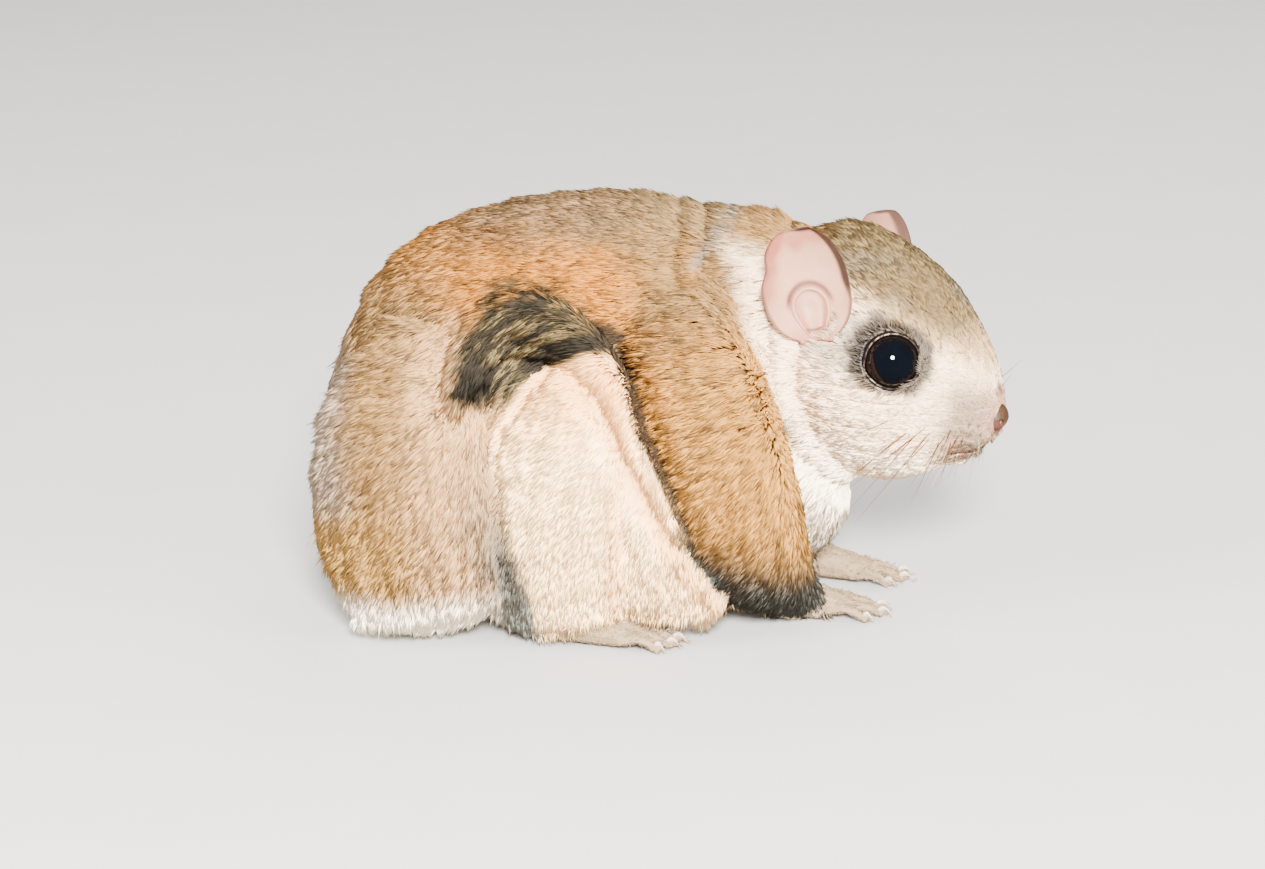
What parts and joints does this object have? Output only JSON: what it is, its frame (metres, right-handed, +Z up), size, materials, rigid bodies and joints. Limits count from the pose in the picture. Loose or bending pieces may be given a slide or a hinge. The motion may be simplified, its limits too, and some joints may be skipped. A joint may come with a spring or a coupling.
{
  "type": "flying squirrel",
  "caption": "Still life-size flying squirrel crouching on all fours, gliding membrane folded down the flanks, head turned and tail curled round to one side.",
  "frame": {"origin": "on the floor, at the flat under the belly, in the body's middle plane", "axes": "+X the way the body faces, +Y to the animal's left, +Z up"},
  "size_m": [0.1263, 0.1018, 0.0757],
  "materials": {
    "coat_back": "short soft fur, tan with fine dark tips",
    "coat_belly": "short soft fur, cream",
    "coat_face": "very short soft fur, grey and cream",
    "bare_skin": "thin bare skin, pink",
    "eye": "wet gloss, near black"
  },
  "bodies": {
    "root": {"torso": "coat_back", "neck": "coat_back", "head": "coat_face", "eye_right": "eye", "eye_left": "eye", "ear_right": "bare_skin", "ear_left": "bare_skin", "foreleg_right": "coat_back", "foreleg_left": "coat_back", "hand_right": "bare_skin", "hand_left": "bare_skin", "hindleg_right": "coat_back", "hindleg_left": "coat_back", "hindfoot_right": "bare_skin", "hindfoot_left": "bare_skin", "membrane_right": "coat_belly", "membrane_left": "coat_belly", "tail_base": "coat_back", "tail_middle": "coat_back", "tail_tip": "coat_back"}
  },
  "joints": []
}
